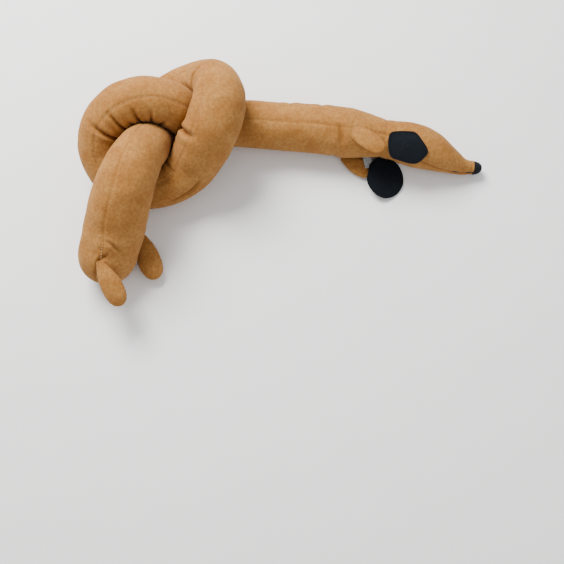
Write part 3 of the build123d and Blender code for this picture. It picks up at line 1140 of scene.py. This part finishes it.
@dataclass
class Leg:
    """A leg with its seam round the edge.

    Args:
        pattern: its shape and place.
        plush: its cloth.
    """

    pattern: LegPattern
    plush: bpy.types.Material
    rings: int = 56
    columns: int = 64

    def build(self) -> bpy.types.Object:
        """Stuff the leg and sew it on.

        Returns:
            The leg.
        """
        pattern = self.pattern
        root, tip = np.array(pattern.root) * MM, np.array(pattern.tip) * MM
        run = tip - root
        length = float(np.linalg.norm(run))
        heading = run / length
        facing = np.array(pattern.facing, dtype=float)
        facing = unit(facing - heading * facing.dot(heading))
        side = np.cross(facing, heading)
        shares = np.sin(np.linspace(0.0, 0.985, self.rings) * 0.5 * math.pi)
        angles = np.arange(self.columns) * FULL_TURN / self.columns
        rows, creases = [], []
        for share in shares:
            half = pattern.width * MM * self.outline(share)
            thick = pattern.thickness * MM * self.plump(share)
            edge = from_seams(angles)
            groove = np.exp(-(edge * max(half, 1 * MM) / (1.1 * MM))**2)
            pucker = np.exp(-(edge / 0.5)**2) * np.sin(share * length / (4.6 * MM) * FULL_TURN) * 0.02
            size = 1 + pucker - 0.9 * MM * groove / max(half, 2 * MM)
            ring = (root + heading * share * length + (np.cos(angles) * half * size)[:, None] * side
                    + (np.sin(angles) * thick * size)[:, None] * facing)
            rows.append(ring + unit(ring - root - heading * share * length)
                        * (noise_at(ring, 12 * MM, 5) * 0.4 * MM)[:, None])
            # painted shade in the edge seam's groove
            creases.append(0.8 * groove)
        grid = np.array(rows)
        grid[..., 2] = np.maximum(grid[..., 2], RESTS_AT)
        obj = tube_object(f"{pattern.name}_plush", grid, vertex_normals(grid), np.array(creases),
                          self.plush)
        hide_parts(*(f"{pattern.name}_{part}" for part in ("upper", "lower", "filling")))
        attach(obj, pattern.name)
        return obj

    def outline(self, share: float) -> float:
        """Half width against its greatest, from the root at 0 to the tip at 1."""
        if share < 0.6:
            return 0.3 + 0.7 * math.sin(0.5 * math.pi * share / 0.6)
        return math.sqrt(max(1 - ((share - 0.6) / 0.4)**2.9, 0))

    def plump(self, share: float) -> float:
        """Half thickness against its greatest."""
        root = 0.55 + 0.45 * float(smooth_step(np.array(share / 0.5)))
        return root * math.sqrt(max(1 - max(share - 0.45, 0)**2 / 0.55**2, 0))


@dataclass
class CareLabel:
    """Blank satin ribbon, folded in a loop and sewn in the chest's lower seam.

    Args:
        ribbon: its cloth.
    """

    ribbon: bpy.types.Material

    def build(self) -> bpy.types.Object:
        """Fold the ribbon.

        Returns:
            The label.
        """
        low, high = (np.array(corner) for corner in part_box("care_label"))
        middle = 0.5 * (low + high)
        width, reach, rows, columns = 10.1 * MM, 15 * MM, 24, 16
        turn_about, lean = middle + np.array([-3.5 * MM, 12.5 * MM, -10.8 * MM]), math.radians(12)
        path = []
        for i in range(rows):
            share = i / (rows - 1)
            if share < 0.46:
                path.append((share / 0.46, -1.0))
            elif share > 0.54:
                path.append(((1 - share) / 0.46, 1.0))
            else:
                turn = (share - 0.5) / 0.04 * 0.5 * math.pi
                path.append((1 + 0.05 * math.cos(turn), math.sin(turn)))
        vertices, faces = [], []
        for out, level in path:
            for j in range(columns):
                across = (j / (columns - 1) - 0.5) * width
                drop = -0.7 * MM * out**1.5 + 0.3 * MM * math.sin(5 * out + j * 0.25)
                opening = 0.45 * MM * (0.25 + 0.75 * out)
                along = -out * reach
                vertices.append(turn_about + np.array([across * math.cos(lean) - along * math.sin(lean),
                                                       across * math.sin(lean) + along * math.cos(lean),
                                                       drop + level * opening]))
        for i in range(rows - 1):
            for j in range(columns - 1):
                a = i * columns + j
                faces.append((a, a + columns, a + columns + 1, a + 1))
        obj = new_object("care_label_ribbon", np.array(vertices), faces, self.ribbon)
        solid = obj.modifiers.new("thickness", "SOLIDIFY")
        solid.thickness = 0.18 * MM
        plain = bpy.data.meshes.new_from_object(obj.evaluated_get(bpy.context.evaluated_depsgraph_get()))
        obj.modifiers.clear()
        obj.data = plain
        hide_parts("care_label")
        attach(obj, "chest_front")
        return obj


# ---- Stitches ---------------------------------------------------------------------------------------------
@dataclass(frozen=True)
class StitchStyle:
    """How one kind of hand or machine stitch looks.

    Args:
        pitch: distance between stitches.
        length: length of one stitch.
        thread: radius of the thread.
        turn: angle of the stitch across its seam.
    """

    pitch: float
    length: float
    thread: float
    turn: float


SEAM_STITCH = StitchStyle(3.2 * MM, 2.4 * MM, 0.28 * MM, 0.0)
CLOSING_STITCH = StitchStyle(3.2 * MM, 4.4 * MM, 0.45 * MM, 1.2)
MOUTH_STITCHES = ((1, 5), (10, 13.5))     # first and last ring of the muzzle under each stitch
MOUTH_THREAD = 0.95 * MM                  # half the thickness of the satin stitch
MOUTH_RINGS, MOUTH_SIDES = 10, 8


class StitchNodes:
    """Geometry Nodes tree that sews a row of stitches along a curve."""

    def __init__(self) -> None:
        """Write the tree."""
        self.tree = bpy.data.node_groups.new("row of stitches", "GeometryNodeTree")
        face = self.tree.interface
        face.new_socket("Path", in_out="INPUT", socket_type="NodeSocketGeometry")
        self.sockets = {}
        for name, default in (("Pitch", 0.003), ("Length", 0.0024), ("Thread radius", 0.0003), ("Turn", 0.0)):
            made = face.new_socket(name, in_out="INPUT", socket_type="NodeSocketFloat")
            made.default_value = default
            self.sockets[name] = made.identifier
        made = face.new_socket("Thread", in_out="INPUT", socket_type="NodeSocketMaterial")
        self.sockets["Thread"] = made.identifier
        face.new_socket("Stitches", in_out="OUTPUT", socket_type="NodeSocketGeometry")
        self._write()

    def _write(self) -> None:
        """Add the nodes and their links."""
        kinds = {"given": "NodeGroupInput", "result": "NodeGroupOutput",
                 "resample": "GeometryNodeResampleCurve",
                 "points": "GeometryNodeCurveToPoints", "thread": "GeometryNodeMeshUVSphere",
                 "slim": "GeometryNodeTransform", "half": "ShaderNodeMath", "size": "ShaderNodeCombineXYZ",
                 "spin": "ShaderNodeCombineXYZ", "smooth": "GeometryNodeSetShadeSmooth",
                 "place": "GeometryNodeInstanceOnPoints", "turn": "GeometryNodeRotateInstances",
                 "real": "GeometryNodeRealizeInstances", "finish": "GeometryNodeSetMaterial"}
        node = {name: self.tree.nodes.new(kind) for name, kind in kinds.items()}
        node["resample"].mode = "LENGTH"
        node["points"].mode = "EVALUATED"
        node["half"].operation = "MULTIPLY"
        node["half"].inputs[1].default_value = 0.5
        for socket, value in (("Segments", 8), ("Rings", 6), ("Radius", 1.0)):
            node["thread"].inputs[socket].default_value = value
        joins = (("given", "Path", "resample", "Curve"), ("given", "Pitch", "resample", "Length"),
                 ("resample", "Curve", "points", "Curve"), ("given", "Length", "half", 0),
                 ("given", "Thread radius", "size", "X"), ("given", "Thread radius", "size", "Y"),
                 ("half", 0, "size", "Z"), ("thread", "Mesh", "slim", "Geometry"),
                 ("size", 0, "slim", "Scale"), ("slim", 0, "smooth", "Geometry"),
                 ("points", "Points", "place", "Points"), ("points", "Rotation", "place", "Rotation"),
                 ("smooth", 0, "place", "Instance"), ("given", "Turn", "spin", "X"),
                 ("place", 0, "turn", "Instances"), ("spin", 0, "turn", "Rotation"),
                 ("turn", 0, "real", 0), ("real", 0, "finish", "Geometry"),
                 ("given", "Thread", "finish", "Material"), ("finish", 0, "result", "Stitches"))
        for source, output, target, socket in joins:
            self.tree.links.new(node[source].outputs[output], node[target].inputs[socket])

    def sew(self, name: str, path: Array, style: StitchStyle, thread: bpy.types.Material) -> bpy.types.Object:
        """Sew stitches along a path.

        Args:
            name: name of the row.
            path: points of the seam.
            style: kind of stitch.
            thread: its material.

        Returns:
            The stitches, as one plain mesh.
        """
        curve = bpy.data.curves.new(name, "CURVE")
        curve.dimensions = "3D"
        spline = curve.splines.new("POLY")
        spline.points.add(len(path) - 1)
        for point, place in zip(spline.points, path):
            point.co = (*place, 1)
        source = bpy.data.objects.new(f"{name}_path", curve)
        bpy.context.scene.collection.objects.link(source)
        modifier = source.modifiers.new("stitches", "NODES")
        modifier.node_group = self.tree
        values = {"Pitch": style.pitch, "Length": style.length, "Thread radius": style.thread,
                  "Turn": style.turn, "Thread": thread}
        for key, value in values.items():
            modifier[self.sockets[key]] = value
        mesh = bpy.data.meshes.new_from_object(source.evaluated_get(bpy.context.evaluated_depsgraph_get()))
        mesh.materials.clear()
        mesh.materials.append(thread)
        bpy.data.objects.remove(source)
        obj = bpy.data.objects.new(name, mesh)
        bpy.context.scene.collection.objects.link(obj)
        return obj


@dataclass
class Needlework:
    """Visible stitches of the toy.

    Args:
        torso: the body.
        head: the head.
        cloths: the finishes, by slot.
    """

    torso: BodyForm
    head: HeadForm
    cloths: dict[Slot, bpy.types.Material]

    def build(self) -> list[bpy.types.Object]:
        """Sew every visible row.

        Returns:
            The rows of stitches.
        """
        nodes = StitchNodes()
        return [self.knot_seam(nodes), self.closing(nodes), self.mouth()]

    def knot_seam(self, nodes: StitchNodes) -> bpy.types.Object:
        """The side seam's thread along the knot."""
        path = self.torso.seam_path(0.21, 0.868, 0.0)
        obj = nodes.sew("knot_seam_thread", path, SEAM_STITCH, self.cloths[Slot.TAN_THREAD])
        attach(obj, "knot")
        return obj

    def closing(self, nodes: StitchNodes) -> bpy.types.Object:
        """Hand stitches that close the filling hole at the rump."""
        first = self.torso.row(0.968)
        path = self.torso.grid[first:len(self.torso.arc) + 7, 0]
        obj = nodes.sew("closing_stitches", path, CLOSING_STITCH, self.cloths[Slot.TAN_THREAD])
        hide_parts("rump_closing_stitches")
        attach(obj, "rump")
        return obj

    def mouth(self) -> bpy.types.Object:
        """Black stitches of the mouth, along the chin seam."""
        vertices, faces = [], []
        for first, last in MOUTH_STITCHES:
            path = []
            for row in np.linspace(first, last, MOUTH_RINGS):
                ring = self.head.grid[int(round(row))]
                angle = math.radians(np.interp(ring[:, 0].mean() / MM, *np.array(CHIN_SEAM).T))
                column = int(round(angle / FULL_TURN * COLUMNS)) % COLUMNS
                path.append(ring[column] + unit(ring[column] - ring.mean(axis=0)) * 0.5 * MM)
            start = len(vertices)
            for i, (point, heading) in enumerate(zip(path, unit(np.gradient(path, axis=0)))):
                across = unit(np.cross(heading, [0, 0, 1.0]))
                up = np.cross(across, heading)
                size = MOUTH_THREAD * math.sqrt(max(1 - (2 * i / (MOUTH_RINGS - 1) - 1)**4, 0.05))
                for turn in np.arange(MOUTH_SIDES) * FULL_TURN / MOUTH_SIDES:
                    vertices.append(point + size * (math.cos(turn) * across + math.sin(turn) * up))
            vertices += [path[0], path[-1]]
            faces += [tuple(start + v for v in face) for face in tube_faces(MOUTH_RINGS, MOUTH_SIDES)]
        obj = new_object("mouth_embroidery", np.array(vertices), faces, self.cloths[Slot.DARK_THREAD])
        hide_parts("mouth_stitches")
        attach(obj, "head")
        return obj


# ---- Studio -----------------------------------------------------------------------------------------------
@dataclass
class Studio:
    """Pale floor, soft light and the camera, high over the toy."""

    wardrobe: Wardrobe

    def build(self) -> None:
        """Set the stage."""
        self.floor()
        self.light("key light", (-0.55, 0.85, 1.15), 0.75, 56, (1.0, 0.985, 0.96))
        self.light("fill light", (0.9, -0.7, 1.1), 1.4, 4, (0.95, 0.97, 1.0))
        self.sky()
        self.camera()

    def floor(self) -> None:
        """A wide flat surface."""
        mesh = bpy.data.meshes.new("floor")
        mesh.from_pydata([(-4, -4, 0), (4, -4, 0), (4, 4, 0), (-4, 4, 0)], [], [(0, 1, 2, 3)])
        mesh.materials.append(self.wardrobe.floor.build())
        obj = bpy.data.objects.new("floor", mesh)
        bpy.context.scene.collection.objects.link(obj)

    def light(self, name: str, place: tuple, size: float, power: float, colour: tuple) -> None:
        """A square soft light aimed at the toy.

        Args:
            name: its name.
            place: where it hangs.
            size: length of its side.
            power: its power in watts.
            colour: its tint.
        """
        data = bpy.data.lights.new(name, "AREA")
        data.shape = "SQUARE"
        data.size = size
        data.energy = power
        data.color = colour
        obj = bpy.data.objects.new(name, data)
        obj.location = place
        obj.rotation_euler = (Vector((0, 0, 0.04)) - Vector(place)).to_track_quat("-Z", "Y").to_euler()
        bpy.context.scene.collection.objects.link(obj)

    def sky(self) -> None:
        """Even light from all around."""
        world = bpy.data.worlds.new("studio")
        world.use_nodes = True
        background = world.node_tree.nodes["Background"]
        background.inputs["Color"].default_value = (1, 1, 1, 1)
        background.inputs["Strength"].default_value = 0.72
        bpy.context.scene.world = world

    def camera(self) -> None:
        """Look down on the toy from high above its belly side."""
        data = bpy.data.cameras.new("camera")
        data.sensor_width = 36
        data.lens = 48.13
        data.dof.use_dof = False
        obj = bpy.data.objects.new("camera", data)
        obj.location = (0, -0.30112, 0.88033)
        obj.rotation_euler = (math.radians(12), 0, 0)
        bpy.context.scene.collection.objects.link(obj)
        bpy.context.scene.camera = obj


def main() -> None:
    """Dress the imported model."""
    logging.basicConfig(level=logging.INFO, format="%(name)s: %(message)s")
    wardrobe = Wardrobe()
    cloths = {
        Slot.PLUSH: wardrobe.plush.build(),
        Slot.EAR: wardrobe.ear.build(),
        Slot.NOSE: wardrobe.nose.build(),
        Slot.DARK_THREAD: wardrobe.dark_thread.build(),
        Slot.TAN_THREAD: wardrobe.tan_thread.build(),
        Slot.LABEL: wardrobe.ribbon.build(),
    }
    Studio(wardrobe).build()
    body = BodyForm()
    torso = Torso(body, cloths[Slot.PLUSH])
    pieces = torso.build()
    head = HeadForm(body)
    pieces += Head(head, torso, cloths).build()
    below = Surface(body.grid[:body.row(0.05)], head.grid)
    pieces.append(Ear(NEAR_EAR, cloths[Slot.EAR], below).build())
    pieces.append(Ear(FAR_EAR, cloths[Slot.EAR], None).build())
    pieces += [Leg(pattern, cloths[Slot.PLUSH]).build() for pattern in LEGS]
    pieces.append(CareLabel(cloths[Slot.LABEL]).build())
    pieces += Needlework(body, head, cloths).build()
    for piece in pieces:
        LOG.info("%s: %d faces", piece.name, len(piece.data.polygons))


if __name__ == "__main__":
    main()
